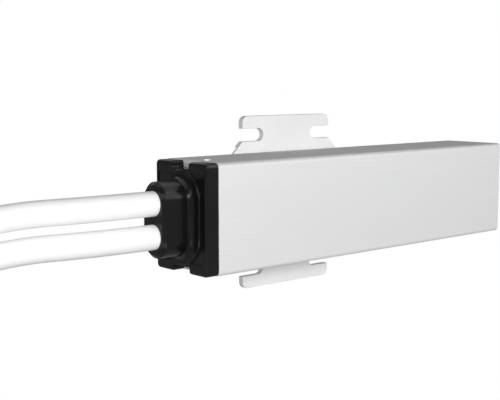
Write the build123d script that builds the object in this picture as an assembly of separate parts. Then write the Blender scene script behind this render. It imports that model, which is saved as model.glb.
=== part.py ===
"""Radio receiver for a roller shutter or awning motor, on its wall plate.

A slim aluminium case, closed by a black moulded cap with a collar for two cables, slides along a
plate that is screwed to the wall. Millimetres. The origin is the middle of the wall plate's back
face. +X runs along the case away from the cables, +Y into the wall and +Z up.
"""

from build123d import *
import math
import os

# Case: an extruded aluminium tube with a T groove along its back
case_length = 140.0
case_height = 34.0
case_depth = 26.0
case_wall = 1.2
case_corner = 1.4
cavity_corner = 0.6

# T groove, which runs on the plate's shoe
groove_mouth = 8.0
groove_head = 13.0
groove_head_depth = 2.6
groove_lip = 1.4
slide_clearance = 0.2

# Wall plate and its shoe
plate_from_cable_end = 52.0
plate_thickness = 2.2
plate_height = 58.5
plate_gap = 0.3
bar_length = 40.6
bar_width = 4.2
bar_corner = 2.2
slot_width = 4.3
slot_end_spacing = 26.3
flank_width = 51.0
relief_depth = 1.0
relief_height = 37.8
land_length = 34.0
land_height = 13.0
shoe_length = 40.0
shoe_chamfer = 1.2
shoe_screw_spacing = 20.0
shoe_screw_d = 3.0
shoe_screw_head = 5.5
shoe_screw_reach = 6.0
screw_clearance = 0.05

# Insulating sleeve
fit_gap = 0.1
sleeve_wall = 1.0
sleeve_end_gap = 3.6
nub_d = 2.4
nub_from_cable_end = 5.0
nub_off_middle = 1.3
nub_below_skin = 0.3
rail_height = 1.2
rail_width = 1.0
barb_window = 3.0
barb_offset = 5.5

# Cable end cap
cap_inset = 0.4
cap_back_inset = 0.55
cap_top_inset = 0.05
cap_flange = 4.6
cap_edge = 0.8
cap_skirt = 9.0
cap_skirt_wall = 1.6
notch_width = 8.5
notch_depth = 2.1
notch_corner = 0.5
notch_shoulder = 0.6
face_recess = 0.4
pad_height = 3.4
recess_margin = 1.0
collar_width = 11.2
collar_height = 23.0
collar_length = 10.4
collar_edge = 1.1
collar_flare = 2.0
ring_margin = 3.6
ring_notch_gap = 0.2
ring_height = 0.7
barb_height = 0.8

# Cables
cable_d = 7.6
cable_spacing = 10.0
cable_fit = 0.05
sheath_end = 20.0
seal_thickness = 4.0
seal_margin = 1.5

# Strain relief inside the cap
tongue_length = 14.0
tongue_thickness = 2.0
clamp_start = 2.0
clamp_width = 7.0
clamp_thickness = 3.0
clamp_nip = 0.4
post_cable_gap = 0.3
post_sleeve_gap = 0.4
head_post_margin = 0.25
clamp_screw_head_height = 1.8
clamp_screw_length = 9.0

# Closing plug
plug_face = 2.6
plug_recess = 0.4
plug_skirt = 6.0
plug_seal_width = 1.6
plug_seal_depth = 0.7

# Circuit board
board_from_cable_end = 32.0
board_plug_gap = 3.0
board_thickness = 1.6
board_back_gap = 2.0
board_edge_gap = 0.3
rail_clearance = 0.3
row_clearance = 0.25

# Wire cores
core_d = 2.2
core_lay_radius = 1.75
stripped_length = 34.0
core_spread = 3.8
core_straight = 2.6
core_bend = 1.8
core_in_terminal = 6.4
core_past_screw = 1.0
lead_straight = 0.3
lead_bend = 12.0
lead_step = 0.08
ferrule_length = 8.0
ferrule_d = 1.5
ferrule_collar = 2.9
ferrule_collar_length = 6.0

# Places that follow from the sizes above
cable_end = -plate_from_cable_end
far_end = cable_end + case_length
case_back = -(plate_thickness + plate_gap)
case_front = case_back - case_depth
case_mid = (case_back + case_front) / 2
groove_floor = case_back - groove_lip - groove_head_depth
cavity_back = groove_floor - case_wall
cavity_front = case_front + case_wall
cavity_top = case_height / 2 - case_wall
sleeve_front = cavity_front + fit_gap
sleeve_back = cavity_back - fit_gap
sleeve_top = cavity_top - fit_gap
sleeve_end = far_end - sleeve_end_gap
room_front = sleeve_front + sleeve_wall
room_back = sleeve_back - sleeve_wall
room_top = sleeve_top - sleeve_wall
room_mid = (room_front + room_back) / 2
nub_x = cable_end + nub_from_cable_end
nub_y = case_mid - nub_off_middle
cap_face = cable_end - cap_flange
cap_front = case_front + cap_inset
cap_back = case_back - cap_back_inset
cap_mid = (cap_front + cap_back) / 2
collar_face = cap_face - collar_length
cap_edge_z = case_height / 2 - cap_top_inset
ring_length = 2 * (cap_edge_z - notch_depth - ring_notch_gap)
ring_width = collar_width + 2 * ring_margin
cable_y = room_back - fit_gap - cap_skirt_wall - seal_margin - cable_d / 2
cable_z = (cable_spacing / 2, -cable_spacing / 2)
cable_reach = cable_spacing / 2 + cable_d / 2
post_d = room_top - post_sleeve_gap - cable_reach - post_cable_gap
clamp_screw_d = post_d / 2
clamp_screw_head = post_d - 2 * head_post_margin
plug_start = far_end - plug_recess - plug_face - plug_skirt
board_back = room_back - board_back_gap
board_face = board_back - board_thickness
board_start = cable_end + board_from_cable_end
board_end = plug_start - board_plug_gap
board_length = board_end - board_start
board_half = room_top - board_edge_gap
front_room = board_face - room_front
edge_row = room_top - rail_height - rail_clearance
row_limit = room_top - rail_height - row_clearance
slot_z = plate_height / 2 - bar_width - slot_width / 2

# Routes of the two cables, as chosen points: out of the collar, round and down
mains_route = [
    (collar_face, cable_y, cable_z[0]),
    (-87.0, -15.8, 5.0),
    (-113.0, -7.8, 4.4),
    (-145.0, -7.2, -2.0),
    (-168.0, -6.6, -28.0),
    (-177.0, -7.0, -62.0),
    (-177.5, -8.4, -96.0),
    (-174.5, -9.8, -129.0),
    (-173.5, -10.4, -161.0),
    (-175.0, -10.2, -191.0),
    (-176.5, -9.8, -215.0),
]
motor_route = [
    (collar_face, cable_y, cable_z[1]),
    (-87.0, -15.8, -5.0),
    (-111.0, -7.8, -5.5),
    (-141.0, -7.2, -11.0),
    (-161.0, -6.6, -34.0),
    (-166.0, -7.2, -68.0),
    (-165.0, -8.8, -98.0),
    (-162.5, -10.4, -128.0),
    (-161.5, -11.2, -158.0),
    (-162.0, -11.4, -186.0),
    (-163.0, -11.0, -209.0),
]
mains_colours = ("brown", "blue", "earth")
motor_colours = ("blue", "brown", "black", "earth")


def block(x, y, z):
    """Box between two limits along each axis."""
    size = Box(abs(x[1] - x[0]), abs(y[1] - y[0]), abs(z[1] - z[0]))
    return Pos((x[0] + x[1]) / 2, (y[0] + y[1]) / 2, (z[0] + z[1]) / 2) * size


def rod(start, end, diameter):
    """Round bar from one point to another."""
    axis = Vector(*end) - Vector(*start)
    base = Plane(origin=start, z_dir=axis.normalized())
    return extrude(base * Circle(diameter / 2), axis.length)


def along_x(profile, start, length):
    """Profile drawn in Y and Z, pulled along X."""
    return extrude(Plane.YZ.offset(start) * profile, length)


def rectangle(y, z):
    """Rectangle in the YZ sketch between two limits each way."""
    return Pos((y[0] + y[1]) / 2, (z[0] + z[1]) / 2) * Rectangle(abs(y[1] - y[0]), abs(z[1] - z[0]))


def stadium(width, height):
    """Upright slot shape about the two cables."""
    return Pos(cable_y, 0) * Rot(0, 0, 90) * SlotOverall(height, width)


def cable_route(points):
    """Path of a cable: straight runs joined by arcs as large as the runs allow."""
    places = [Vector(*p) for p in points]
    radii = []
    for before, here, after in zip(places, places[1:], places[2:]):
        arriving = here - before
        leaving = after - here
        half_turn = math.radians(arriving.get_angle(leaving)) / 2
        radii.append(0.45 * min(arriving.length, leaving.length) / math.tan(half_turn))
    return FilletPolyline(*places, radius=radii), radii


def tube_along(points, diameter):
    """Round tube along a route, and the route's line and radii."""
    path, radii = cable_route(points)
    start = Plane(origin=points[0], z_dir=path.tangent_at(0))
    return sweep(start * Circle(diameter / 2), path=path), path, radii


def lay_positions(count):
    """Places of the cores round a cable's middle, turned so that no two are level."""
    quarter_step = 0 if count % 2 else math.pi / (2 * count)
    turns = [2 * math.pi * (k + 0.5) / count + quarter_step for k in range(count)]
    return [(core_lay_radius * math.cos(a), core_lay_radius * math.sin(a)) for a in turns]


def cavity_profile(gap=0.0):
    """Inside of the tube, which goes round the groove's channel."""
    channel = groove_head / 2 + case_wall
    room = rectangle((cavity_front + gap, cavity_back - gap), (-cavity_top + gap, cavity_top - gap))
    pocket_depth = (cavity_back - gap - 1, case_back - case_wall - gap)
    pocket = rectangle(pocket_depth, (channel + gap, cavity_top - gap))
    profile = room + pocket + mirror(pocket, about=Plane.XZ)
    return fillet(profile.vertices(), cavity_corner)


def case_tube():
    outline = Pos(case_mid, 0) * RectangleRounded(case_depth, case_height, case_corner)
    mouth = rectangle((case_back - groove_lip - 0.1, case_back + 1), (-groove_mouth / 2, groove_mouth / 2))
    head = rectangle((groove_floor, case_back - groove_lip), (-groove_head / 2, groove_head / 2))
    tube = along_x(outline - cavity_profile() - mouth - head, cable_end, case_length)
    hole = rod((nub_x, nub_y, -case_height), (nub_x, nub_y, case_height), nub_d + 2 * fit_gap)
    return tube - hole


def inner_sleeve():
    """White insulating sleeve with rails for the board and a nub in each of the tube's holes."""
    outer = rectangle((sleeve_front, sleeve_back), (-sleeve_top, sleeve_top))
    outer = fillet(outer.vertices(), cavity_corner)
    profile = outer - rectangle((room_front, room_back), (-room_top, room_top))
    for side in (-1, 1):
        edge = (side * room_top, side * (room_top - rail_height))
        profile += rectangle((board_back, board_back + rail_width), edge)
        profile += rectangle((board_face, board_face - rail_width), edge)
    start = cable_end + fit_gap
    sleeve = along_x(profile, start, sleeve_end - start)
    nub_top = case_height / 2 - nub_below_skin
    rails_start = cable_end + cap_skirt + tongue_length
    for without_rails in ((start - 1, rails_start), (board_end, sleeve_end + 1)):
        sleeve -= block(without_rails, (room_front, room_back), (-room_top, room_top))
    for side in (-1, 1):
        top = side * (sleeve_top - sleeve_wall / 2)
        sleeve += rod((nub_x, nub_y, top), (nub_x, nub_y, side * nub_top), nub_d)
        for place in (-barb_offset, barb_offset):
            through_wall = (room_top - sleeve_wall, room_top + 2 * sleeve_wall)
            sleeve -= barb_block(place, side, barb_window, through_wall)
    return sleeve


def barb_start():
    return cable_end + cap_skirt / 2 + nub_d / 2


def barb_block(place, side, width, height):
    """Block where a barb of the cap's skirt stands in its window in the sleeve."""
    middle = room_mid + place
    x = barb_start() + (barb_window - width) / 2
    across = (middle - width / 2, middle + width / 2)
    return block((x, x + width), across, (side * height[0], side * height[1]))


def cap_notch():
    """Notch in the middle of the flange's upper edge, its shoulders cut back."""
    edge = cap_edge_z
    half = notch_width / 2
    wide = half + notch_shoulder
    floor = edge - notch_depth
    right = [(half, floor), (half, edge - notch_shoulder), (wide, edge), (wide, edge + 1)]
    left = [(-y, z) for y, z in reversed(right)]
    outline = make_face(Polyline(*right, *left, close=True))
    inner = outline.vertices().sort_by(Axis.Y)[:2]
    return Pos(cap_mid, 0) * fillet(inner, notch_corner)


def cable_end_cap():
    """Moulded cap: flange, skirt, flared collar with two bores and the tongue of the strain relief."""
    width = cap_back - cap_front
    outline = Pos(cap_mid, 0) * RectangleRounded(width, 2 * cap_edge_z, case_corner)
    flange = along_x(outline, cap_face, cap_flange)
    flange = fillet(flange.faces().sort_by(Axis.X)[0].edges(), cap_edge)
    recess_half = cap_edge_z - pad_height
    recess = RectangleRounded(width - 2 * recess_margin, 2 * recess_half, case_corner)
    recess = Pos(cap_mid, 0) * recess
    flange -= along_x(recess, cap_face - 1, 1 + face_recess)
    ring = stadium(ring_width, ring_length)
    ring = along_x(ring, cap_face - ring_height + face_recess, ring_height)
    ring = chamfer(ring.faces().sort_by(Axis.X)[0].edges(), ring_height / 2)
    collar = along_x(stadium(collar_width, collar_height), collar_face, collar_length + cap_flange / 2)
    collar = chamfer(collar.faces().sort_by(Axis.X)[0].edges(), collar_edge)
    cap = flange + ring + collar
    foot_x = cap_face - ring_height + face_recess
    foot = cap.edges().filter_by_position(Axis.X, foot_x - 0.01, foot_x + 0.01)
    foot = [e for e in foot if inside_stadium(e, collar_width / 2 + 0.1)]
    cap = fillet(foot, collar_flare)
    notch = cap_notch()
    for side in (-1, 1):
        turned = notch if side > 0 else mirror(notch, about=Plane.XZ)
        cap -= along_x(turned, cap_face - 1, cap_flange + 1)
    cap += cap_skirt_and_tongue()
    for z in cable_z:
        cap -= rod((collar_face - 1, cable_y, z), (cable_end + 1, cable_y, z), cable_d + 2 * cable_fit)
    return cap


def inside_stadium(edge, half_width):
    """Whether an edge of the cap's face lies on the collar's own outline."""
    at = edge.position_at(0.5)
    straight = (collar_height - collar_width) / 2
    reach = math.hypot(at.Y - cable_y, max(abs(at.Z) - straight, 0))
    return reach < half_width


def cap_skirt_and_tongue():
    outer = rectangle((room_front + fit_gap, room_back - fit_gap), (-room_top + fit_gap, room_top - fit_gap))
    outer = fillet(outer.vertices(), cavity_corner)
    inner = offset(outer, -cap_skirt_wall, kind=Kind.INTERSECTION)
    skirt = along_x(outer - inner, cable_end, cap_skirt)
    skin = room_top - fit_gap
    for side in (-1, 1):
        for place in (-barb_offset, barb_offset):
            reach = (skin - cap_skirt_wall / 2, skin + barb_height)
            barb = barb_block(place, side, barb_window - 2 * fit_gap, reach)
            skirt += barb - barb_slope(place, side)
    tongue_back = room_back - fit_gap
    tongue = block(
        (cable_end + cap_skirt - 0.5, cable_end + cap_skirt + tongue_length),
        (tongue_back - tongue_thickness, tongue_back),
        (-room_top + cap_skirt_wall, room_top - cap_skirt_wall),
    )
    skirt += tongue
    for side in (-1, 1):
        x, z = clamp_screw_place(side)
        post = rod((x, tongue_back - 0.5, z), (x, clamp_back(), z), post_d)
        pilot = rod((x, clamp_back() - 1, z), (x, tongue_back - 0.8, z), clamp_screw_d)
        skirt += post
        skirt -= pilot
    return skirt


def barb_slope(place, side):
    """Wedge that gives a barb its lead-in."""
    x = barb_start()
    base = side * (room_top - fit_gap)
    top = base + side * 2 * barb_height
    corners = [(x, top), (x + barb_window, top), (x + barb_window, base)]
    wedge = make_face(Polyline(*corners, close=True))
    return extrude(Plane.XZ.offset(-(room_mid + place + barb_window)) * wedge, 2 * barb_window)


def clamp_screw_place(side):
    x = cable_end + cap_skirt + clamp_start + clamp_width / 2
    z = side * (cable_reach + post_cable_gap + post_d / 2)
    return x, z


def clamp_back():
    """Y of the clamp's back face, which rests on the posts."""
    return cable_y - cable_d / 2 + clamp_nip + clamp_thickness / 2


def cable_clamp():
    """Bar across both cables with a saddle over each."""
    x0 = cable_end + cap_skirt + clamp_start
    reach = clamp_screw_place(1)[1] + post_d / 2
    back = clamp_back()
    bar = block((x0, x0 + clamp_width), (back - clamp_thickness, back), (-reach, reach))
    bar = fillet(bar.edges().filter_by(Axis.Y), clamp_width / 4)
    for z in cable_z:
        bar -= rod((x0 - 1, cable_y, z), (x0 + clamp_width + 1, cable_y, z), cable_d + 2 * cable_fit)
    for side in (-1, 1):
        x, z = clamp_screw_place(side)
        bar -= rod((x, back + 1, z), (x, back - clamp_thickness - 1, z), clamp_screw_d + 2 * screw_clearance)
    return bar


def clamp_screws():
    face = clamp_back() - clamp_thickness
    screws = []
    for side in (-1, 1):
        x, z = clamp_screw_place(side)
        head = rod((x, face, z), (x, face - clamp_screw_head_height, z), clamp_screw_head)
        head = chamfer(head.faces().sort_by(Axis.Y)[0].edges(), clamp_screw_head_height / 3)
        shank = rod((x, face, z), (x, face + clamp_screw_length, z), clamp_screw_d)
        screws.append(head + shank)
    return screws


def cable_seal():
    """Rubber block in the skirt, squeezed round both cables."""
    inner = rectangle(
        (room_front + fit_gap + cap_skirt_wall, room_back - fit_gap - cap_skirt_wall),
        (-room_top + fit_gap + cap_skirt_wall, room_top - fit_gap - cap_skirt_wall),
    )
    seal = along_x(inner, cable_end, seal_thickness)
    for z in cable_z:
        bore_end = (cable_end + sheath_end, cable_y, z)
        seal -= rod((cable_end - 1, cable_y, z), bore_end, cable_d + 2 * cable_fit)
    return seal


def closing_plug():
    """Plug that sits inside the tube's far end and leaves the groove open."""
    face_end = far_end - plug_recess
    plug = along_x(cavity_profile(fit_gap), face_end - plug_face, plug_face)
    plug = chamfer(plug.faces().sort_by(Axis.X)[-1].edges(), 0.3)
    outer = rectangle((room_front + fit_gap, room_back - fit_gap), (-room_top + fit_gap, room_top - fit_gap))
    skirt = along_x(outer - offset(outer, -cap_skirt_wall), plug_start, plug_skirt)
    return plug + skirt - plug_groove()


def plug_groove():
    """Groove round the plug's skirt, which holds its seal."""
    middle = plug_start + plug_skirt / 2
    outer = rectangle((room_front, room_back), (-room_top, room_top))
    inside = offset(outer, -(fit_gap + plug_seal_depth), kind=Kind.INTERSECTION)
    return along_x(outer - inside, middle - plug_seal_width / 2, plug_seal_width)


def wall_plate():
    """Plate with two slotted tabs, relieved at the back except for a land under the shoe."""
    top = plate_height / 2
    lip = slot_z - slot_width / 2
    bar = bar_length / 2
    wide = flank_width / 2
    flank_foot = lip - (wide - bar)
    corners = [(bar, top), (bar, lip), (wide, flank_foot), (wide, -flank_foot), (bar, -lip), (bar, -top)]
    corners += [(-x, z) for x, z in reversed(corners)]
    outline = make_face(Polyline(*corners, close=True))
    tab_corners = [v for v in outline.vertices() if abs(v.Y) > top - 0.1]
    outline = fillet(tab_corners, bar_corner)
    for x_side in (-1, 1):
        for z_side in (-1, 1):
            length = flank_width
            slot = SlotCenterToCenter(length, slot_width)
            outline -= Pos(x_side * (slot_end_spacing + length) / 2, z_side * slot_z) * slot
    plate = extrude(Plane.XZ * outline, plate_thickness)
    relief = block((-flank_width, flank_width), (-relief_depth, 1), (-relief_height / 2, relief_height / 2))
    land = RectangleRounded(land_length, land_height, bar_corner)
    land = extrude(Plane.XZ.offset(-2) * land, 2 + plate_thickness)
    plate -= relief - land
    for x in shoe_screw_x():
        plate -= rod((x, 1, 0), (x, -plate_thickness - 1, 0), shoe_screw_d + 2 * screw_clearance)
        plate -= countersink(x, screw_clearance)
    return plate


def shoe_screw_x():
    return (-shoe_screw_spacing / 2, shoe_screw_spacing / 2)


def countersink(x, gap):
    """Cone of a countersunk screw's head, sunk from the wall side."""
    depth = (shoe_screw_head - shoe_screw_d) / 2
    cone = Cone(shoe_screw_head / 2 + gap, shoe_screw_d / 2 + gap, depth)
    return Pos(x, -depth / 2, 0) * Rot(90, 0, 0) * cone


def slide_shoe():
    """T-shaped shoe that the case's groove runs on."""
    neck = groove_mouth / 2 - slide_clearance
    head = groove_head / 2 - slide_clearance
    step = case_back - groove_lip - slide_clearance
    floor = groove_floor + slide_clearance
    half = shoe_length / 2
    shoe = block((-half, half), (-plate_thickness, step), (-neck, neck))
    shoe += block((-half, half), (step, floor), (-head, head))
    head_corners = [e for e in shoe.edges().filter_by(Axis.Y) if abs(e.center().Z) > neck + 0.1]
    shoe = chamfer(head_corners, shoe_chamfer)
    for x in shoe_screw_x():
        shoe -= rod((x, 0, 0), (x, floor - 1, 0), shoe_screw_d + 2 * screw_clearance)
    return shoe


def shoe_screws():
    """Countersunk screws, flush with the plate's back face."""
    screws = []
    for x in shoe_screw_x():
        screws.append(countersink(x, 0) + rod((x, -0.5, 0), (x, -shoe_screw_reach, 0), shoe_screw_d))
    return screws


def circuit_board():
    return block((board_start, board_end), (board_face, board_back), (-board_half, board_half))


def on_board(start, length, low, high, rise):
    """Block on the board's face: X from the board's start, limits in Z, and its rise off the board."""
    x = board_start + start
    return block((x, x + length), (board_face, board_face - rise), (low, high))


# Terminal blocks: one way a core, across the whole board
terminal_start = 4.0
terminal_length = 8.0
terminal_front_gap = 3.8
terminal_wall = 0.5
terminal_chamfer = 1.0
wire_entry = 3.6
screw_sink = 1.2
screw_slot = 0.5
screw_slot_depth = 1.0
ways = len(mains_colours) + len(motor_colours)
terminal_pitch = (2 * row_limit - 4 * terminal_wall) / ways
terminal_rise = front_room - terminal_front_gap

# Radio and microcontroller at the far end
radio_length = 13.0
radio_from_end = 14.5
radio_thickness = 1.0
shield_length = 8.0
shield_rise = 2.4
shield_edge = 1.0
aerial_from_end = 3.5
aerial_d = 1.2
aerial_bend = 1.6
aerial_front_gap = 4.8
aerial_edge_gap = 2.2
aerial_end_gap = 2.5
micro_size = 9.0
micro_rise = 1.2
micro_from_end = 12.0
radio_start = board_length - radio_from_end
micro_start = board_length - micro_from_end

# Relays, one after the other along the lower edge
relay_row_start = 16.0
relay_gap = 2.0
relay_micro_gap = 9.0
relay_width = 10.1
relay_front_gap = 1.5
relay_chamfer = 0.5
relay_length = (micro_start - relay_micro_gap - relay_row_start - relay_gap) / 2
relay_starts = (relay_row_start, relay_row_start + relay_length + relay_gap)
lower_edge = -edge_row
middle_gap = 0.4
middle_edge = lower_edge + relay_width + middle_gap

# Transformer and bulk capacitor, which share the rest of the upper edge
transformer_overhang = 5.5
transformer_excess = 5.0
bulk_transformer_gap = 3.0
bulk_radio_gap = 2.5
transformer_start = relay_starts[1] - transformer_overhang
row_rest = radio_start - bulk_radio_gap - bulk_transformer_gap - transformer_start
transformer_length = (row_rest + transformer_excess) / 2
bulk_start = transformer_start + transformer_length + bulk_transformer_gap
bulk_length = row_rest - transformer_length

# Transformer: its core's legs, and its gaps to what lies round it
transformer_row_gap = 0.55
transformer_front_gap = 0.8
core_leg = 2.6
core_lift = 2.5
winding_lift = 1.1
bobbin_reach = 3.0
bobbin_foot = 1.8
winding_clearance = 0.1
middle_leg = 3.2
transformer_low = middle_edge + transformer_row_gap
transformer_rise = front_room - transformer_front_gap

# Fuse, varistor and film capacitor
fuse_start = 17.0
fuse_transformer_gap = 4.0
fuse_d = 5.2
fuse_rise = 3.9
fuse_edge_gap = 0.1
clip_length = 5.0
clip_wall = 0.8
clip_from_end = 1.0
fuse_length = transformer_start - fuse_transformer_gap - fuse_start
clip_width = fuse_d + 2 * clip_wall
fuse_z = edge_row - fuse_edge_gap - clip_width / 2
varistor_start = 15.5
varistor_thickness = 3.4
varistor_lift = 1.2
varistor_leg_d = 0.8
varistor_d = fuse_z - clip_width / 2 - middle_edge
film_start = 21.0
film_transformer_gap = 2.0
film_fuse_gap = 2.6
film_front_gap = 1.8
film_corner = 0.8
film_length = transformer_start - film_transformer_gap - film_start
film_width = varistor_d - film_fuse_gap
film_rise = front_room - film_front_gap

# Rectifier, regulator and the bulk capacitor's can
bulk_row_gap = 1.7
bulk_lift = 0.3
bulk_past_row = 0.15
bulk_edge = 0.7
crimp_from_end = 2.0
crimp_width = 0.8
crimp_depth = 0.4
rectifier_width = 4.8
rectifier_rise = 2.6
rectifier_gap = 2.6
regulator_radio_gap = 2.0
regulator_size = (6.5, 3.5, 1.7)
regulator_tab = (3.1, 1.5, 0.5)
regulator_start = radio_start - regulator_radio_gap - regulator_size[0]
rectifier_length = regulator_start - rectifier_gap - bulk_start
bulk_low = middle_edge + rectifier_width + bulk_row_gap
bulk_d = row_limit + bulk_past_row - bulk_low
bulk_z = bulk_low + bulk_d / 2


def terminal_span(first, count):
    """Lower and upper edge of a terminal block whose first way is numbered from the top."""
    top = row_limit - first * terminal_pitch - (2 * terminal_wall if first else 0)
    return top - count * terminal_pitch - 2 * terminal_wall, top


def way_z(first, count):
    """Heights of a terminal block's ways, from the top down."""
    top = terminal_span(first, count)[1] - terminal_wall
    return [top - (k + 0.5) * terminal_pitch for k in range(count)]


def terminal_block(first, count):
    low, high = terminal_span(first, count)
    body = on_board(terminal_start, terminal_length, low, high, terminal_rise)
    body = chamfer(body.edges().filter_by(Axis.Z).group_by(Axis.Y)[0], terminal_chamfer)
    x = board_start + terminal_start
    y = wire_y()
    middle = x + terminal_length / 2
    for z in way_z(first, count):
        body -= rod((x - 1, y, z), (middle + core_d, y, z), core_d + 4 * fit_gap)
        body -= rod((middle, board_face - terminal_rise - 1, z), (middle, y, z), core_d + 2 * fit_gap)
    return body


def wire_y():
    """Distance of the wire entries in front of the board."""
    return board_face - wire_entry


def terminal_screws():
    """One screw a way, with a slot across its head."""
    screws = []
    x = board_start + terminal_start + terminal_length / 2
    for z in way_z(0, len(mains_colours)) + way_z(len(mains_colours), len(motor_colours)):
        top = board_face - terminal_rise + screw_sink
        screw = rod((x, wire_y() - core_d / 2 - fit_gap, z), (x, top, z), core_d)
        slot = (z - screw_slot / 2, z + screw_slot / 2)
        screw -= block((x - core_d, x + core_d), (top - 1, top + screw_slot_depth), slot)
        screws.append(screw)
    return screws


def fuse():
    x = board_start + fuse_start
    y = board_face - fuse_rise
    return rod((x, y, fuse_z), (x + fuse_length, y, fuse_z), fuse_d)


def fuse_clips():
    """Spring clip round each end of the fuse."""
    clips = []
    y = board_face - fuse_rise
    first = board_start + fuse_start + clip_from_end
    last = board_start + fuse_start + fuse_length - clip_from_end - clip_length
    inner = clip_width / 2 - 1.5 * clip_wall
    for x in (first, last):
        across = (fuse_z - clip_width / 2, fuse_z + clip_width / 2)
        clip = block((x, x + clip_length), (board_face, y - fuse_d / 3), across)
        clip -= rod((x - 1, y, fuse_z), (x + clip_length + 1, y, fuse_z), fuse_d)
        mouth = (board_face - clip_wall, y - fuse_d)
        clip -= block((x - 1, x + clip_length + 1), mouth, (fuse_z - inner, fuse_z + inner))
        clips.append(clip)
    return clips


def varistor():
    """Disc that stands on the board on its edge."""
    x = board_start + varistor_start
    y = board_face - varistor_d / 2 - varistor_lift
    z = middle_edge + varistor_d / 2
    disc = rod((x, y, z), (x + varistor_thickness, y, z), varistor_d)
    disc = chamfer(disc.edges(), varistor_thickness / 4)
    middle = x + varistor_thickness / 2
    for foot in (z - varistor_d / 4, z + varistor_d / 4):
        disc += rod((middle, board_face, foot), (middle, y, foot), varistor_leg_d)
    return disc


def film_capacitor():
    body = on_board(film_start, film_length, middle_edge, middle_edge + film_width, film_rise)
    return chamfer(body.faces().sort_by(Axis.Y)[0].edges(), film_corner)


def relay(start):
    rise = front_room - relay_front_gap
    body = on_board(start, relay_length, lower_edge, lower_edge + relay_width, rise)
    return chamfer(body.faces().sort_by(Axis.Y)[0].edges(), relay_chamfer)


def transformer_places():
    """Core's limits along the board, its lower and upper edge, and its middle each way."""
    start = board_start + transformer_start
    along = (start + bobbin_reach, start + transformer_length - bobbin_reach)
    middle = (board_face - transformer_rise / 2, (transformer_low + row_limit) / 2)
    return along, (transformer_low, row_limit), middle


def transformer_core():
    """E core that closes round the bobbin on both sides."""
    along, (low, high), (y, z) = transformer_places()
    half = transformer_rise / 2 - core_lift
    core = block(along, (y + half, y - half), (low, high))
    window = (along[0] + core_leg, along[1] - core_leg)
    through = (y + transformer_rise, y - transformer_rise)
    core -= block(window, through, (low + core_leg, z - middle_leg / 2))
    core -= block(window, through, (z + middle_leg / 2, high - core_leg))
    return core


def transformer_bobbin():
    """Wound bobbin on the core's middle leg, with its foot on the board."""
    along, (low, high), (y, z) = transformer_places()
    inside = core_leg + winding_clearance
    across = (low + inside, high - inside)
    half = transformer_rise / 2 - winding_lift
    bobbin = block((along[0] + inside, along[1] - inside), (y + half, y - half), across)
    foot_x = (along[0] - bobbin_reach, along[1] + bobbin_reach)
    bobbin += block(foot_x, (board_face, board_face - bobbin_foot), (low + 0.5, high - 0.5))
    hole = (z - middle_leg / 2 - cable_fit, z + middle_leg / 2 + cable_fit)
    half = transformer_rise / 2 - core_lift + cable_fit
    return bobbin - block(foot_x, (y + half, y - half), hole)


def bulk_capacitor():
    """Round capacitor that lies on the board, with the groove round its can."""
    x = board_start + bulk_start
    y = board_face - bulk_d / 2 - bulk_lift
    can = rod((x, y, bulk_z), (x + bulk_length, y, bulk_z), bulk_d)
    can = chamfer(can.edges(), bulk_edge)
    start = x + crimp_from_end
    end = start + crimp_width
    crimp = rod((start, y, bulk_z), (end, y, bulk_z), bulk_d + 1)
    crimp -= rod((start - 1, y, bulk_z), (end + 1, y, bulk_z), bulk_d - 2 * crimp_depth)
    return can - crimp


def rectifier():
    edge = middle_edge + rectifier_width
    body = on_board(bulk_start, rectifier_length, middle_edge, edge, rectifier_rise)
    return chamfer(body.edges().filter_by(Axis.Y)[0], rectifier_width / 6)


def regulator():
    """Regulator with its cooling tab."""
    length, width, rise = regulator_size
    body = on_board(regulator_start, length, middle_edge, middle_edge + width, rise)
    tab_length, tab_width, tab_rise = regulator_tab
    tab_edge = middle_edge + width
    tab_start = regulator_start + (length - tab_length) / 2
    return body + on_board(tab_start, tab_length, tab_edge - 0.1, tab_edge + tab_width, tab_rise)


def microcontroller():
    body = on_board(micro_start, micro_size, lower_edge, lower_edge + micro_size, micro_rise)
    return chamfer(body.edges().filter_by(Axis.Y), micro_rise / 2)


def radio_board():
    return on_board(radio_start, radio_length, 0.0, edge_row, radio_thickness)


def radio_shield():
    """Tin can over the radio circuit."""
    x = board_start + radio_start + shield_edge
    y = board_face - radio_thickness
    can = block((x, x + shield_length), (y, y - shield_rise), (shield_edge, edge_row - shield_edge))
    return chamfer(can.faces().sort_by(Axis.Y)[0].edges(), shield_rise / 5)


def antenna_wire():
    """Bent aerial wire from the radio board towards the plastic plug."""
    x = board_end - aerial_from_end
    foot = board_face - radio_thickness
    top = board_face - front_room + aerial_front_gap - radio_thickness
    reach = edge_row - aerial_edge_gap
    route = [(x, foot, reach), (x, top, reach), (x, top, -reach), (x, foot - aerial_end_gap, -reach)]
    path = FilletPolyline(*[Vector(*p) for p in route], radius=aerial_bend)
    return sweep(Plane(origin=route[0], z_dir=(0, -1, 0)) * Circle(aerial_d / 2), path=path)


def cable_tail(z):
    """Cable inside the collar, the seal and the clamp, up to the end of its sheath."""
    return rod((collar_face, cable_y, z), (cable_end + sheath_end, cable_y, z), cable_d)


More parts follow.
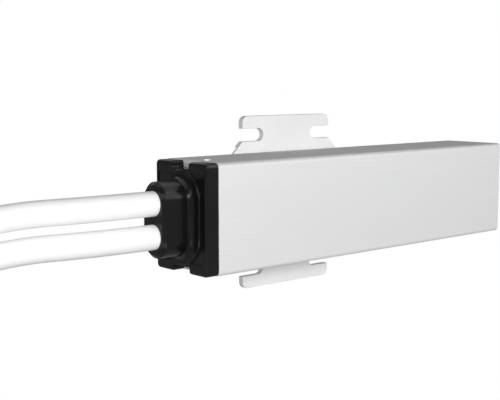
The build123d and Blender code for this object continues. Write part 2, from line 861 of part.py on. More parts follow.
def inner_cores():
    """Cores from both sheaths to the terminals, sorted by colour."""
    cores = {}
    start_x = cable_end + sheath_end
    end_x = board_start + terminal_start + terminal_length / 2 + core_past_screw
    groups = (
        (cable_z[0], mains_colours, way_z(0, len(mains_colours))),
        (cable_z[1], motor_colours, way_z(len(mains_colours), len(motor_colours))),
    )
    for middle, colours, ways in groups:
        lay = sorted(lay_positions(len(colours)), key=lambda at: -at[1])
        for colour, (dy, dz), way in zip(colours, lay, ways):
            start = (start_x, cable_y + dy, middle + dz)
            bend = (start_x + core_straight, cable_y + dy, middle + dz)
            turn = (end_x - core_in_terminal, wire_y(), way)
            path = FilletPolyline(start, bend, turn, (end_x, wire_y(), way), radius=core_bend)
            wire = sweep(Plane(origin=start, z_dir=(1, 0, 0)) * Circle(core_d / 2), path=path)
            cores.setdefault(colour, []).append(wire)
    return cores


def lead_end(route, colours):
    """Stripped cores at a cable's free end, spread a little, and a ferrule on each."""
    tip = Vector(*route[-1])
    down = (tip - Vector(*route[-2])).normalized()
    across = Vector(1, 0, 0)
    side = down.cross(across).normalized()
    across = side.cross(down)
    cores = []
    ferrules = []
    for k, (dy, dz) in enumerate(lay_positions(len(colours))):
        start = tip + across * dy + side * dz
        length = stripped_length * (1 - lead_step * k)
        spread = across * (dy / core_lay_radius * core_spread) + side * (dz / core_lay_radius * core_spread)
        elbow = start + down * (length * lead_straight)
        end = start + down * length + spread
        path = FilletPolyline(start, elbow, end, radius=lead_bend)
        cores.append(sweep(Plane(origin=start, z_dir=down) * Circle(core_d / 2), path=path))
        ahead = path.tangent_at(1)
        collar = rod(end, end + ahead * ferrule_collar_length, ferrule_collar)
        pin = rod(end, end + ahead * (ferrule_collar_length + ferrule_length), ferrule_d)
        ferrules.append(collar + pin)
    return cores, ferrules


def write(name, solids):
    """Write one node: a solid, or a group of separate solids."""
    if isinstance(solids, list):
        solids = Compound(children=[s.solid() for s in solids])
    export_step(solids, f"parts/{name}.step")


os.makedirs("parts", exist_ok=True)

write("wall_plate", wall_plate())
write("slide_shoe", slide_shoe())
write("shoe_screws", shoe_screws())

write("case_tube", case_tube())
write("inner_sleeve", inner_sleeve())
write("cable_end_cap", cable_end_cap())
write("cable_seal", cable_seal())
write("cable_clamp", cable_clamp())
write("clamp_screws", clamp_screws())
write("closing_plug", closing_plug())
write("plug_seal", plug_groove())

write("circuit_board", circuit_board())
write("mains_terminal", terminal_block(0, len(mains_colours)))
write("motor_terminal", terminal_block(len(mains_colours), len(motor_colours)))
write("terminal_screws", terminal_screws())
write("fuse", fuse())
write("fuse_clips", fuse_clips())
write("varistor", varistor())
write("film_capacitor", film_capacitor())
write("up_relay", relay(relay_starts[0]))
write("down_relay", relay(relay_starts[1]))
write("transformer_core", transformer_core())
write("transformer_bobbin", transformer_bobbin())
write("bulk_capacitor", bulk_capacitor())
write("rectifier", rectifier())
write("regulator", regulator())
write("microcontroller", microcontroller())
write("radio_board", radio_board())
write("radio_shield", radio_shield())
write("antenna_wire", antenna_wire())

write("mains_cable_tail", cable_tail(cable_z[0]))
write("motor_cable_tail", cable_tail(cable_z[1]))
for colour, wires in inner_cores().items():
    write(f"{colour}_cores", wires)

all_ferrules = []
for name, route, colours in (("mains", mains_route, mains_colours), ("motor", motor_route, motor_colours)):
    cable, path, radii = tube_along(route, cable_d)
    write(f"{name}_cable", cable)
    ends, ferrules = lead_end(route, colours)
    write(f"{name}_lead_cores", ends)
    all_ferrules += ferrules
    expected = math.pi * cable_d**2 / 4 * path.length
    print(name, "cable", round(path.length, 1), "mm, radii", [round(r) for r in radii])
    print(name, "cable volume", round(cable.volume), "against", round(expected))
write("wire_ferrules", all_ferrules)
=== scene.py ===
"""Looks of the radio receiver: satin case on its wall plate, black cap, two white cables."""

import math

import bmesh
import bpy
from mathutils import Matrix, Vector


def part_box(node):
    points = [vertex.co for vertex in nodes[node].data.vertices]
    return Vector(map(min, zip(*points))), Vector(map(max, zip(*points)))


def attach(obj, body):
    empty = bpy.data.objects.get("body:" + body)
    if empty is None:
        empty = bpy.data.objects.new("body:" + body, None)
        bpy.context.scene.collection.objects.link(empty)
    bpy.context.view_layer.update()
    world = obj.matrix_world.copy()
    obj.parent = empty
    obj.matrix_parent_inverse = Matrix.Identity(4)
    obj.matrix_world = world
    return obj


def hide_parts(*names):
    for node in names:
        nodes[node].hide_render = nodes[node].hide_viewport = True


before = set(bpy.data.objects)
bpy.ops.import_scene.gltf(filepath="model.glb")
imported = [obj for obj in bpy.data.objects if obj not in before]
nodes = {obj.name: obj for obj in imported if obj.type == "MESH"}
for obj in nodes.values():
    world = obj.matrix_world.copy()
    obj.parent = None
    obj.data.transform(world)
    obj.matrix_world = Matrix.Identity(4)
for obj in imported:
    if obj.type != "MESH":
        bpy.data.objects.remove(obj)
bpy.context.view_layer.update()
MM = 0.001

# Camera, at the photograph's place
camera_place = Vector((-0.23524, -0.25227, 0.04075))
camera_turn = math.radians(41.10)
camera_tilt = math.radians(6.84)
camera_roll = math.radians(-0.05)
camera_lens = 71.18
camera_sensor = 36
camera_clip = (0.01, 20)

# Surround's strength below and above the horizon, and the heights between which it changes
surround_even = (0.34, 0.13)
horizon_band = (-0.08, 0.04)

# Soft lights: place, aim, size and watts
soft_lights = {
    "key": ((-0.30, -1.05, 0.27), (0, 0, 0), (1.0, 0.3), 11.0),
    "left": ((-0.85, -0.50, 0.35), (0, 0, 0), (0.7, 0.4), 1.2),
    "lift": ((-0.85, -0.65, -0.45), (0, 0, 0), (0.6, 0.4), 0.9),
    "arc": ((0.75, -0.85, 0.30), (0, 0, 0), (0.6, 0.45), 0.7),
    "back": ((0.75, 0.85, 0.30), (0, 0, 0), (1.0, 0.5), 0.2),
    "behind": ((0.0, 1.10, -0.05), (0, 0, 0), (0.7, 0.6), 5.0),
}
floor_light = ((0, 0, 1.6), (0, 0, 0), (1.5, 1.5), 18.0)
nub_light = ((-0.20, -0.25, 0.45), (-0.047, -0.017, 0.017), (0.3, 0.3), 6.0)

# Lights for the black cap and plug alone, and those that are kept off them
cap_lights = {
    "cap_side": ((0.80, -0.92, 0.50), (0, 0, 0), (1.2, 0.9), 5.0),
    "cap_mid": ((0.72, -0.42, 0.72), (-0.06, -0.02, 0), (0.8, 0.5), 1.6),
    "cap_top": ((0.62, 0.10, 0.75), (-0.06, -0.02, 0), (0.9, 1.1), 0.7),
    "cap_over": ((-0.06, -0.02, 0.90), (-0.06, -0.02, 0), (1.2, 1.2), 3.5),
    "cap_key": ((-0.30, -1.05, 0.27), (0, 0, 0), (1.0, 0.3), 5.0),
    "cap_rim": ((0.05, 0.80, 0.68), (-0.06, -0.02, 0), (0.8, 0.6), 1.0),
}
kept_off_cap = ("key", "behind")

# Floor, which starts to fade at floor_fade of its radius
floor_radius, floor_height, floor_fade = 0.5, -0.33, 0.3
floor_steps = 96
floor_tone = (0.72, 0.72, 0.72, 1)
floor_roughness = 0.9

# Span of a noise pattern's value over which tones and roughness are spread
pattern_span = (0.3, 0.7)

# Cables, in metres
cable_d = 7.6 * MM
mains_route = [
    (-0.067, -0.0158, 0.005),
    (-0.087, -0.0158, 0.005),
    (-0.113, -0.0078, 0.0044),
    (-0.145, -0.0072, -0.002),
    (-0.168, -0.0066, -0.028),
    (-0.177, -0.0070, -0.062),
    (-0.1775, -0.0084, -0.096),
    (-0.1745, -0.0098, -0.129),
    (-0.1735, -0.0104, -0.161),
    (-0.175, -0.0102, -0.191),
    (-0.1765, -0.0098, -0.215),
]
motor_route = [
    (-0.067, -0.0158, -0.005),
    (-0.087, -0.0158, -0.005),
    (-0.111, -0.0078, -0.0055),
    (-0.141, -0.0072, -0.011),
    (-0.161, -0.0066, -0.034),
    (-0.166, -0.0072, -0.068),
    (-0.165, -0.0088, -0.098),
    (-0.1625, -0.0104, -0.128),
    (-0.1615, -0.0112, -0.158),
    (-0.162, -0.0114, -0.186),
    (-0.163, -0.0110, -0.209),
]
mains_colours = ("brown", "blue", "earth")
motor_colours = ("blue", "brown", "black", "earth")

# Cores and ferrules at the free ends, as in the part's source
core_lay_radius = 1.75 * MM
stripped_length = 34 * MM
core_spread = 3.8 * MM
lead_straight = 0.3
lead_step = 0.08

# Turned shapes as radii and heights in millimetres: a ferrule's collar and pin, a sleeve nub's head
collar_profile = [
    (0, 0), (1.05, 0), (1.42, 0.05), (1.45, 0.2), (1.45, 2.6),
    (1.2, 3.9), (1.02, 4.6), (1.0, 5.85), (0.9, 6.0), (0, 6.0),
]
pin_profile = [
    (0, 5.5), (0.75, 5.5), (0.75, 7.6), (0.68, 7.8), (0.68, 8.3),
    (0.75, 8.5), (0.75, 9.4), (0.68, 9.6), (0.68, 10.1), (0.75, 10.3),
    (0.75, 13.85), (0.68, 14.0), (0.5, 14.0), (0.45, 13.6), (0, 13.6),
]
nub_profile = [
    (0, 16.6), (1.15, 16.6), (1.15, 16.72), (1.0, 16.87), (0.7, 16.95), (0.35, 16.99), (0, 17.0),
]
nub_place = (-0.047, -0.0168, 0)

# Distances in metres within which corners merge, and the bend that still counts as flat
node_weld = 0.000002
turned_weld = 0.000001
flat_angle = math.radians(0.4)

# Broken edges: the angle in degrees from which an edge gets one, and their widths
edge_angle = 32
case_edge = 0.28 * MM
cap_edge = 0.1 * MM
plug_edge = 0.12 * MM
plate_edge = 0.2 * MM
shoe_edge = 0.12 * MM
screw_edge = 0.05 * MM

# A face belongs to the case's cut ends when it is this near to one and this square to the case
end_reach = 0.01 * MM
end_square = 0.99


def in_scene(name, data):
    """New object in the scene, at the origin."""
    made = bpy.data.objects.new(name, data)
    bpy.context.scene.collection.objects.link(made)
    return made


def place_camera():
    """Camera that sees the part as the photograph does."""
    ahead = Vector((math.sin(camera_turn), math.cos(camera_turn), 0))
    right = Vector((math.cos(camera_turn), -math.sin(camera_turn), 0))
    up = Vector((0, 0, 1))
    forward = ahead * math.cos(camera_tilt) - up * math.sin(camera_tilt)
    upward = up * math.cos(camera_tilt) + ahead * math.sin(camera_tilt)
    rolled_right = right * math.cos(camera_roll) + upward * math.sin(camera_roll)
    rolled_up = upward * math.cos(camera_roll) - right * math.sin(camera_roll)
    data = bpy.data.cameras.new("photo_camera")
    data.sensor_fit = "HORIZONTAL"
    data.sensor_width = camera_sensor
    data.lens = camera_lens
    data.clip_start, data.clip_end = camera_clip
    camera = in_scene("photo_camera", data)
    turn = Matrix((rolled_right, rolled_up, -forward)).transposed()
    camera.matrix_world = Matrix.Translation(camera_place) @ turn.to_4x4()
    bpy.context.scene.camera = camera


def soft_light(name, place, target, size, power):
    """White softbox that faces its target."""
    data = bpy.data.lights.new(name, "AREA")
    data.shape = "RECTANGLE"
    data.size, data.size_y = size
    data.energy = power
    lamp = in_scene(name, data)
    lamp.location = place
    lamp.rotation_euler = (Vector(target) - Vector(place)).to_track_quat("-Z", "Y").to_euler()
    return lamp


def light_only(lamp, pieces):
    """Flags a light off from all but some pieces."""
    lit = bpy.data.collections.new(lamp.name + "_lit")
    for piece in pieces:
        lit.objects.link(piece)
    lamp.light_linking.receiver_collection = lit


def shield(lamp, pieces):
    """Flags a light off from some pieces."""
    light_only(lamp, pieces)
    for unlit in lamp.light_linking.receiver_collection.collection_objects:
        unlit.light_linking.link_state = "EXCLUDE"


def carried(tree, value, source, target=(0, 1), interpolation="LINEAR"):
    """Value carried from one span of numbers to another."""
    node = tree.nodes.new("ShaderNodeMapRange")
    node.interpolation_type = interpolation
    for socket, limit in zip(("From Min", "From Max", "To Min", "To Max"), (*source, *target)):
        node.inputs[socket].default_value = limit
    tree.links.new(value, node.inputs["Value"])
    return node.outputs["Result"]


def surround_strength(tree):
    """Strength of the surround, from below the horizon to above it."""
    direction = tree.nodes.new("ShaderNodeTexCoord")
    height = tree.nodes.new("ShaderNodeSeparateXYZ")
    tree.links.new(direction.outputs["Generated"], height.inputs[0])
    return carried(tree, height.outputs["Z"], horizon_band, surround_even, "SMOOTHSTEP")


def studio():
    """White surround for the camera; surfaces see it dim, and less so below the horizon."""
    world = bpy.data.worlds.new("studio")
    bpy.context.scene.world = world
    world.use_nodes = True
    tree = world.node_tree
    tree.nodes.clear()
    output = tree.nodes.new("ShaderNodeOutputWorld")
    white = tree.nodes.new("ShaderNodeBackground")
    white.inputs["Color"].default_value = (1, 1, 1, 1)
    around = tree.nodes.new("ShaderNodeBackground")
    around.inputs["Color"].default_value = (1, 1, 1, 1)
    seen = tree.nodes.new("ShaderNodeLightPath")
    mix = tree.nodes.new("ShaderNodeMixShader")
    link = tree.links.new
    link(surround_strength(tree), around.inputs["Strength"])
    link(seen.outputs["Is Camera Ray"], mix.inputs[0])
    link(around.outputs[0], mix.inputs[1])
    link(white.outputs[0], mix.inputs[2])
    link(mix.outputs[0], output.inputs[0])
    bpy.context.scene.view_settings.view_transform = "Standard"
    for name, values in soft_lights.items():
        soft_light(name, *values)


def floor_finish():
    """Matt grey that fades out at the floor's rim and is clear from underneath."""
    material, tree, shader = finish_nodes(
        "pale_floor", Base_Color=floor_tone, Roughness=floor_roughness
    )
    clear = tree.nodes.new("ShaderNodeBsdfTransparent")
    side = tree.nodes.new("ShaderNodeNewGeometry")
    mix = tree.nodes.new("ShaderNodeMixShader")
    place = tree.nodes.new("ShaderNodeTexCoord")
    level = tree.nodes.new("ShaderNodeVectorMath")
    level.operation = "MULTIPLY"
    level.inputs[1].default_value = (1, 1, 0)
    reach = tree.nodes.new("ShaderNodeVectorMath")
    reach.operation = "LENGTH"
    unseen = tree.nodes.new("ShaderNodeMath")
    unseen.operation = "MAXIMUM"
    link = tree.links.new
    link(place.outputs["Object"], level.inputs[0])
    link(level.outputs[0], reach.inputs[0])
    rim = (floor_fade * floor_radius, floor_radius)
    link(carried(tree, reach.outputs["Value"], rim, interpolation="SMOOTHSTEP"), unseen.inputs[0])
    link(side.outputs["Backfacing"], unseen.inputs[1])
    link(unseen.outputs[0], mix.inputs[0])
    link(shader.outputs[0], mix.inputs[1])
    link(clear.outputs[0], mix.inputs[2])
    link(mix.outputs[0], tree.nodes["Material Output"].inputs[0])
    return material


def pale_floor():
    """Round floor below the hanging cables, which throws no light back on them."""
    mesh = bpy.data.meshes.new("floor")
    bm = bmesh.new()
    bmesh.ops.create_circle(bm, cap_ends=True, segments=floor_steps, radius=floor_radius)
    bmesh.ops.translate(bm, verts=bm.verts, vec=(0, 0, floor_height))
    bm.to_mesh(mesh)
    bm.free()
    floor = in_scene("floor", mesh)
    mesh.materials.append(floor_finish())
    floor.visible_diffuse = False
    floor.visible_glossy = False
    light_only(soft_light("floor_light", *floor_light), [floor])


def finish_nodes(name, **values):
    """New material with its shader, and values for the shader's own sockets."""
    material = bpy.data.materials.new(name)
    material.use_nodes = True
    tree = material.node_tree
    shader = tree.nodes["Principled BSDF"]
    for socket, value in values.items():
        shader.inputs[socket.replace("_", " ")].default_value = value
    return material, tree, shader


def noise(tree, scale, detail=3.0, stretch=(1, 1, 1), rough=0.5):
    """Noise on the piece's own coordinates, scale in cycles a metre."""
    place = tree.nodes.new("ShaderNodeTexCoord")
    mapping = tree.nodes.new("ShaderNodeMapping")
    mapping.inputs["Scale"].default_value = stretch
    pattern = tree.nodes.new("ShaderNodeTexNoise")
    pattern.inputs["Scale"].default_value = scale
    pattern.inputs["Detail"].default_value = detail
    pattern.inputs["Roughness"].default_value = rough
    tree.links.new(place.outputs["Object"], mapping.inputs["Vector"])
    tree.links.new(mapping.outputs[0], pattern.inputs["Vector"])
    return pattern.outputs["Fac"]


def ramp(tree, value, low, high, span=pattern_span):
    """Colour between two tones, by a pattern's value."""
    node = tree.nodes.new("ShaderNodeValToRGB")
    for stop, position, tone in zip(node.color_ramp.elements, span, (low, high)):
        stop.position = position
        stop.color = (*tone, 1)
    tree.links.new(value, node.inputs[0])
    return node.outputs[0]


def spread(tree, value, low, high):
    """Number between two limits, by a pattern's value."""
    return carried(tree, value, pattern_span, (low, high))


def relief(tree, shader, heights, depths, strength):
    """Bump from one or more patterns, one on the other, depths in metres."""
    before = None
    for value, depth in zip(heights, depths):
        bump = tree.nodes.new("ShaderNodeBump")
        bump.inputs["Strength"].default_value = strength
        bump.inputs["Distance"].default_value = depth
        tree.links.new(value, bump.inputs["Height"])
        if before:
            tree.links.new(before, bump.inputs["Normal"])
        before = bump.outputs[0]
    tree.links.new(before, shader.inputs["Normal"])


def satin_aluminium():
    """Anodised extrusion: faint streaks along it over an etched grain."""
    material, tree, shader = finish_nodes("satin_aluminium", Metallic=0.4)
    streaks = noise(tree, scale=2600, detail=4, stretch=(0.012, 1, 1), rough=0.6)
    cloud = noise(tree, scale=40, stretch=(0.25, 1, 1))
    etch = noise(tree, scale=9000, detail=2)
    tone = ramp(tree, streaks, (0.875, 0.878, 0.882), (0.905, 0.907, 0.91))
    patch = ramp(tree, cloud, (0.985, 0.985, 0.985), (1, 1, 1))
    mix = tree.nodes.new("ShaderNodeMix")
    mix.data_type = "RGBA"
    mix.blend_type = "MULTIPLY"
    mix.inputs[0].default_value = 1
    tree.links.new(tone, mix.inputs[6])
    tree.links.new(patch, mix.inputs[7])
    tree.links.new(mix.outputs[2], shader.inputs["Base Color"])
    tree.links.new(spread(tree, streaks, 0.40, 0.46), shader.inputs["Roughness"])
    relief(tree, shader, (streaks, etch), (0.000003, 0.000003), strength=0.4)
    return material


def sawn_aluminium():
    """Bare cut end of the extrusion, bright and matt, with the saw's marks across it."""
    material, tree, shader = finish_nodes("sawn_aluminium", Metallic=0.15)
    marks = noise(tree, scale=3200, stretch=(1, 0.04, 1), rough=0.6)
    tone = ramp(tree, marks, (0.93, 0.93, 0.935), (0.98, 0.98, 0.98))
    tree.links.new(tone, shader.inputs["Base Color"])
    tree.links.new(spread(tree, marks, 0.5, 0.62), shader.inputs["Roughness"])
    relief(tree, shader, (marks,), (0.00001,), strength=0.5)
    return material


def moulded(name, low, high, roughness, texture=5200, depth=0.00002, **values):
    """Moulded plastic with a fine spark-eroded texture and slight flow in its tone."""
    material, tree, shader = finish_nodes(name, **values)
    fine = noise(tree, scale=texture, detail=2)
    flow = noise(tree, scale=90)
    tree.links.new(ramp(tree, flow, low, high), shader.inputs["Base Color"])
    tree.links.new(spread(tree, fine, *roughness), shader.inputs["Roughness"])
    relief(tree, shader, (fine,), (depth,), strength=0.6)
    return material


def coated_plate():
    """Light grey powder coat with orange peel."""
    material, tree, shader = finish_nodes("coated_plate", Coat_Weight=0.25, Coat_Roughness=0.25)
    peel = noise(tree, scale=900, detail=2)
    dust = noise(tree, scale=6000, detail=2)
    cloud = noise(tree, scale=60)
    tone = ramp(tree, cloud, (0.76, 0.763, 0.76), (0.80, 0.802, 0.80))
    tree.links.new(tone, shader.inputs["Base Color"])
    tree.links.new(spread(tree, dust, 0.38, 0.5), shader.inputs["Roughness"])
    relief(tree, shader, (peel, dust), (0.00003, 0.000005), strength=0.5)
    return material


def cable_sheath():
    """White sheath with faint lengthwise marks and a hint of soiling."""
    material, tree, shader = finish_nodes("cable_sheath", Coat_Weight=0.15, Coat_Roughness=0.3)
    shader.inputs["Subsurface Weight"].default_value = 0.08
    shader.inputs["Subsurface Radius"].default_value = (0.002, 0.002, 0.0018)
    soil = noise(tree, scale=70, detail=4)
    fine = noise(tree, scale=2400)
    tone = ramp(tree, soil, (0.945, 0.945, 0.94), (0.97, 0.97, 0.965))
    tree.links.new(tone, shader.inputs["Base Color"])
    tree.links.new(spread(tree, fine, 0.36, 0.48), shader.inputs["Roughness"])
    relief(tree, shader, (soil, fine), (0.00008, 0.000012), strength=0.5)
    return material


def zinc_steel(name="zinc_steel", low=(0.55, 0.56, 0.58), high=(0.68, 0.69, 0.71)):
    """Bare or plated metal with a fine grain."""
    material, tree, shader = finish_nodes(name, Metallic=1.0)
    grain = noise(tree, scale=3000)
    tree.links.new(ramp(tree, grain, low, high), shader.inputs["Base Color"])
    tree.links.new(spread(tree, grain, 0.22, 0.38), shader.inputs["Roughness"])
    relief(tree, shader, (grain,), (0.000008,), strength=0.5)
    return material


def striped_core():
    """Green insulation with a yellow stripe on two sides."""
    material, tree, shader = finish_nodes("earth_core", Roughness=0.4)
    place = tree.nodes.new("ShaderNodeTexCoord")
    wave = tree.nodes.new("ShaderNodeTexWave")
    wave.bands_direction = "X"
    wave.inputs["Scale"].default_value = 120
    wave.inputs["Distortion"].default_value = 0
    tree.links.new(place.outputs["Object"], wave.inputs["Vector"])
    green, yellow = (0.02, 0.22, 0.035), (0.72, 0.62, 0.02)
    colour = ramp(tree, wave.outputs["Fac"], green, yellow, span=(0.48, 0.52))
    tree.links.new(colour, shader.inputs["Base Color"])
    return material


def board_laminate():
    """Green solder mask with fine conductor tracks under it."""
    material, tree, shader = finish_nodes("board_laminate", Roughness=0.35, Coat_Weight=0.4)
    place = tree.nodes.new("ShaderNodeTexCoord")
    track = tree.nodes.new("ShaderNodeTexBrick")
    track.inputs["Scale"].default_value = 160
    track.inputs["Mortar Size"].default_value = 0.03
    track.inputs["Color1"].default_value = (0.01, 0.13, 0.05, 1)
    track.inputs["Color2"].default_value = (0.012, 0.15, 0.055, 1)
    track.inputs["Mortar"].default_value = (0.03, 0.25, 0.09, 1)
    turn = tree.nodes.new("ShaderNodeMapping")
    turn.inputs["Rotation"].default_value = (math.pi / 2, 0, 0)
    tree.links.new(place.outputs["Object"], turn.inputs["Vector"])
    tree.links.new(turn.outputs[0], track.inputs["Vector"])
    tree.links.new(track.outputs["Color"], shader.inputs["Base Color"])
    relief(tree, shader, (track.outputs["Fac"],), (0.00003,), strength=0.4)
    return material


finishes = {
    "aluminium": satin_aluminium(),
    "sawn": sawn_aluminium(),
    "plate": coated_plate(),
    "cap": moulded(
        "cap_plastic",
        (0.007, 0.0072, 0.0076),
        (0.010, 0.0102, 0.0106),
        (0.16, 0.22),
        depth=0.000006,
        Specular_IOR_Level=0.28,
    ),
    "sleeve": moulded("sleeve_plastic", (0.80, 0.80, 0.79), (0.86, 0.86, 0.85), (0.4, 0.5)),
    "nub": moulded("nub_plastic", (0.92, 0.92, 0.91), (0.95, 0.95, 0.945), (0.3, 0.4)),
    "rubber": moulded("seal_rubber", (0.02, 0.02, 0.02), (0.03, 0.03, 0.03), (0.7, 0.82)),
    "shoe": moulded("shoe_plastic", (0.09, 0.09, 0.095), (0.12, 0.12, 0.125), (0.35, 0.45)),
    "sheath": cable_sheath(),
    "steel": zinc_steel(),
    "tin": zinc_steel("tin", (0.70, 0.70, 0.68), (0.80, 0.80, 0.78)),
    "board": board_laminate(),
    "terminal": moulded("terminal_plastic", (0.02, 0.20, 0.06), (0.025, 0.24, 0.07), (0.35, 0.45)),
    "relay": moulded("relay_plastic", (0.015, 0.015, 0.016), (0.022, 0.022, 0.024), (0.25, 0.4)),
    "fuse": moulded(
        "fuse_glass", (0.75, 0.78, 0.78), (0.82, 0.85, 0.85), (0.08, 0.12), Coat_Weight=1.0
    ),
    "varistor": moulded("varistor_lacquer", (0.01, 0.07, 0.32), (0.015, 0.09, 0.38), (0.3, 0.4)),
    "film": moulded("film_plastic", (0.62, 0.42, 0.02), (0.68, 0.47, 0.03), (0.35, 0.45)),
    "ferrite": moulded(
        "ferrite",
        (0.04, 0.04, 0.042),
        (0.07, 0.07, 0.072),
        (0.55, 0.7),
        texture=3000,
        depth=0.00004,
    ),
    "tape": moulded(
        "winding_tape", (0.70, 0.50, 0.04), (0.78, 0.57, 0.06), (0.3, 0.4), Coat_Weight=0.5
    ),
    "can": moulded(
        "can_sleeve", (0.03, 0.03, 0.06), (0.04, 0.04, 0.075), (0.25, 0.35), Coat_Weight=0.6
    ),
    "chip": moulded(
        "chip_resin", (0.02, 0.02, 0.02), (0.03, 0.03, 0.03), (0.5, 0.6), texture=7000
    ),
    "aerial": zinc_steel("aerial_wire", (0.75, 0.48, 0.28), (0.85, 0.58, 0.36)),
    "brown": moulded("brown_core", (0.11, 0.045, 0.02), (0.13, 0.055, 0.025), (0.35, 0.45)),
    "blue": moulded("blue_core", (0.01, 0.06, 0.42), (0.015, 0.075, 0.48), (0.35, 0.45)),
    "black": moulded("black_core", (0.012, 0.012, 0.012), (0.02, 0.02, 0.02), (0.35, 0.45)),
    "earth": striped_core(),
    "ferrule": moulded("ferrule_collar", (0.55, 0.06, 0.04), (0.60, 0.075, 0.05), (0.35, 0.45)),
}

# CAD nodes that keep their shape, with the finish of each
node_finishes = {
    "inner_sleeve": "sleeve",
    "cable_seal": "rubber",
    "cable_clamp": "sleeve",
    "clamp_screws": "steel",
    "plug_seal": "rubber",
    "circuit_board": "board",
    "mains_terminal": "terminal",
    "motor_terminal": "terminal",
    "terminal_screws": "steel",
    "fuse": "fuse",
    "fuse_clips": "tin",
    "varistor": "varistor",
    "film_capacitor": "film",
    "up_relay": "relay",
    "down_relay": "relay",
    "transformer_core": "ferrite",
    "transformer_bobbin": "tape",
    "bulk_capacitor": "can",
    "rectifier": "chip",
    "regulator": "chip",
    "microcontroller": "chip",
    "radio_board": "board",
    "radio_shield": "tin",
    "antenna_wire": "aerial",
    "mains_cable_tail": "sheath",
    "motor_cable_tail": "sheath",
    "blue_cores": "blue",
    "brown_cores": "brown",
    "black_cores": "black",
    "earth_cores": "earth",
}


def dress_nodes():
    """Puts its finish on each CAD node that keeps its shape."""
    for name, finish in node_finishes.items():
        mesh = nodes[name].data
        mesh.materials.clear()
        mesh.materials.append(finishes[finish])


def add_piece(name, bm, slots, body):
    """New piece from a mesh, with its finishes by slot, which rides on a body."""
    mesh = bpy.data.meshes.new(name)
    bm.to_mesh(mesh)
    bm.free()
    piece = in_scene(name, mesh)
    for finish in slots:
        mesh.materials.append(finishes[finish])
    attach(piece, body)
    return piece


def shade(piece, angle):
    """Smooth shading except across edges sharper than the angle."""
    piece.data.polygons.foreach_set("use_smooth", [True] * len(piece.data.polygons))
    piece.data.set_sharp_from_angle(angle=math.radians(angle))


def round_edges(piece, width, segments=3, material=-1):
    """Breaks a piece's edges, in a finish of their own where a slot is given."""
    bevel = piece.modifiers.new("edges", "BEVEL")
    bevel.width = width
    bevel.segments = segments
    bevel.limit_method = "ANGLE"
    bevel.angle_limit = math.radians(edge_angle)
    bevel.harden_normals = True
    bevel.use_clamp_overlap = True
    bevel.material = material


def welded(node):
    """Copy of a CAD node's mesh with its corners merged."""
    bm = bmesh.new()
    bm.from_mesh(nodes[node].data)
    bmesh.ops.remove_doubles(bm, verts=bm.verts, dist=node_weld)
    return bm


def whole_faced(node):
    """Welded copy of a CAD node's mesh, its flat faces whole again."""
    bm = welded(node)
    bmesh.ops.dissolve_limit(
        bm, angle_limit=flat_angle, verts=bm.verts, edges=bm.edges, delimit=set()
    )
    return bm


def refined(node, name, finish, body, edge):
    """Piece of a CAD node's own shape, with its edges broken."""
    piece = add_piece(name, whole_faced(node), (finish,), body)
    shade(piece, edge_angle)
    round_edges(piece, edge)
    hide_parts(node)
    return piece


def case_body():
    """Case tube with its cut ends and their broken edges bare."""
    bm = whole_faced("case_tube")
    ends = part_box("case_tube")
    for face in bm.faces:
        x = face.calc_center_median().x
        at_an_end = min(abs(x - ends[0][0]), abs(x - ends[1][0])) < end_reach
        face.material_index = int(at_an_end and abs(face.normal.x) > end_square)
    piece = add_piece("case_body", bm, ("aluminium", "sawn"), "receiver")
    shade(piece, edge_angle)
    round_edges(piece, case_edge, segments=2, material=1)
    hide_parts("case_tube")


def cable(name, node, route):
    """Cable along its route, as a curve with the sheath's thickness."""
    data = bpy.data.curves.new(name, "CURVE")
    data.dimensions = "3D"
    spline = data.splines.new("NURBS")
    spline.points.add(len(route) - 1)
    for point, place in zip(spline.points, route):
        point.co = (*place, 1)
    spline.order_u = 3
    spline.use_endpoint_u = True
    spline.resolution_u = 24
    data.bevel_depth = cable_d / 2
    data.bevel_resolution = 10
    data.use_fill_caps = True
    data.materials.append(finishes["sheath"])
    piece = in_scene(name, data)
    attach(piece, "receiver")
    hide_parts(node)


def lay_positions(count):
    """Places of a cable's cores round its middle."""
    quarter_step = 0 if count % 2 else math.pi / (2 * count)
    turns = [2 * math.pi * (k + 0.5) / count + quarter_step for k in range(count)]
    return [(core_lay_radius * math.cos(a), core_lay_radius * math.sin(a)) for a in turns]


def core_ends(route, count):
    """End and direction of each stripped core at a cable's free end."""
    tip = Vector(route[-1])
    down = (tip - Vector(route[-2])).normalized()
    side = down.cross(Vector((1, 0, 0))).normalized()
    across = side.cross(down)
    ends = []
    for k, (dy, dz) in enumerate(lay_positions(count)):
        start = tip + across * dy + side * dz
        length = stripped_length * (1 - lead_step * k)
        out = (across * dy + side * dz) / core_lay_radius * core_spread
        elbow = start + down * (length * lead_straight)
        end = start + down * length + out
        ends.append((end, (end - elbow).normalized()))
    return ends


def lead_cores(name, node, colours, route):
    """Stripped cores in their colours: each loose part takes the colour of the nearest core end."""
    bm = welded(node)
    ends = core_ends(route, len(colours))
    left = set(bm.faces)
    while left:
        part = [left.pop()]
        for face in part:
            for edge in face.edges:
                for other in edge.link_faces:
                    if other in left:
                        left.remove(other)
                        part.append(other)
        lowest = min((v.co for face in part for v in face.verts), key=lambda co: co.z)
        nearest = min(range(len(ends)), key=lambda k: (ends[k][0] - lowest).length)
        for face in part:
            face.material_index = nearest
    piece = add_piece(name, bm, colours, "receiver")
    shade(piece, angle=40)
    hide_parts(node)
    return piece


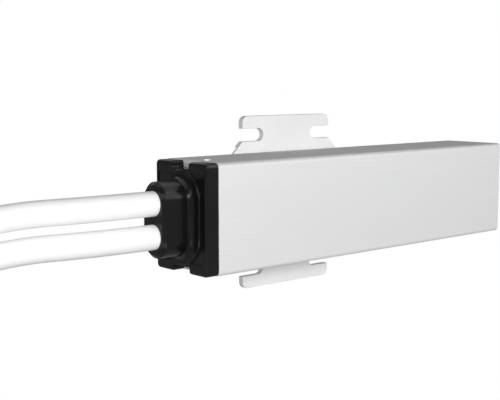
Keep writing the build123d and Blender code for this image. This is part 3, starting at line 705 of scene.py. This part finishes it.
def turned(profile, steps=28):
    """Closed shape turned about Z, from a profile of radii and heights in millimetres."""
    bm = bmesh.new()
    points = [bm.verts.new((r * MM, 0, z * MM)) for r, z in profile]
    edges = [bm.edges.new(pair) for pair in zip(points, points[1:])]
    bmesh.ops.spin(
        bm,
        geom=points + edges,
        cent=(0, 0, 0),
        axis=(0, 0, 1),
        angle=2 * math.pi,
        steps=steps,
        use_merge=True,
    )
    bmesh.ops.remove_doubles(bm, verts=bm.verts, dist=turned_weld)
    bmesh.ops.recalc_face_normals(bm, faces=bm.faces)
    return bm


def set_at(bm, start, ahead):
    """Moves a shape made up Z to a start point, pointing ahead."""
    turn = Vector((0, 0, 1)).rotation_difference(ahead).to_matrix().to_4x4()
    bmesh.ops.transform(bm, matrix=Matrix.Translation(start) @ turn, verts=bm.verts)


def ferrules():
    """Insulated ferrule on each core: flared collar and a crimped pin."""
    whole = bmesh.new()
    for route, colours in ((mains_route, mains_colours), (motor_route, motor_colours)):
        for start, ahead in core_ends(route, len(colours)):
            for index, profile in enumerate((collar_profile, pin_profile)):
                bm = turned(profile)
                for face in bm.faces:
                    face.material_index = index
                set_at(bm, start, ahead)
                mesh = bpy.data.meshes.new("one_ferrule")
                bm.to_mesh(mesh)
                bm.free()
                whole.from_mesh(mesh)
                bpy.data.meshes.remove(mesh)
    piece = add_piece("ferrules", whole, ("ferrule", "tin"), "receiver")
    shade(piece, angle=30)
    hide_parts("wire_ferrules")
    return piece


def sleeve_nubs():
    """Domed heads of the sleeve's nubs in the tube's holes, above and below."""
    heads = turned(nub_profile)
    bmesh.ops.translate(heads, verts=heads.verts, vec=nub_place)
    upper = heads.verts[:] + heads.edges[:] + heads.faces[:]
    lower = bmesh.ops.duplicate(heads, geom=upper)["geom"]
    lower_corners = [part for part in lower if isinstance(part, bmesh.types.BMVert)]
    lower_faces = [part for part in lower if isinstance(part, bmesh.types.BMFace)]
    bmesh.ops.scale(heads, vec=(1, 1, -1), verts=lower_corners)
    bmesh.ops.reverse_faces(heads, faces=lower_faces)
    piece = add_piece("sleeve_nubs", heads, ("nub",), "receiver")
    shade(piece, angle=50)
    return piece


place_camera()
studio()
pale_floor()
dress_nodes()

ferrule_set = ferrules()
mains_ends = lead_cores("mains_lead_ends", "mains_lead_cores", mains_colours, mains_route)
motor_ends = lead_cores("motor_lead_ends", "motor_lead_cores", motor_colours, motor_route)
cable("mains_cable_sheath", "mains_cable", mains_route)
cable("motor_cable_sheath", "motor_cable", motor_route)

case_body()
nubs = sleeve_nubs()
cap = refined("cable_end_cap", "cable_cap", "cap", "receiver", cap_edge)
plug = refined("closing_plug", "end_plug", "cap", "receiver", plug_edge)
for light, values in cap_lights.items():
    light_only(soft_light(light, *values), [cap, plug])
for light in kept_off_cap:
    shield(bpy.data.objects[light], [cap, plug])
light_only(soft_light("nub_light", *nub_light), [nubs])
plate = refined("wall_plate", "plate", "plate", "wall_bracket", plate_edge)
# The case's top doesn't mirror the plate's tab
plate.visible_glossy = False
refined("slide_shoe", "shoe", "shoe", "wall_bracket", shoe_edge)
refined("shoe_screws", "plate_screws", "steel", "wall_bracket", screw_edge)
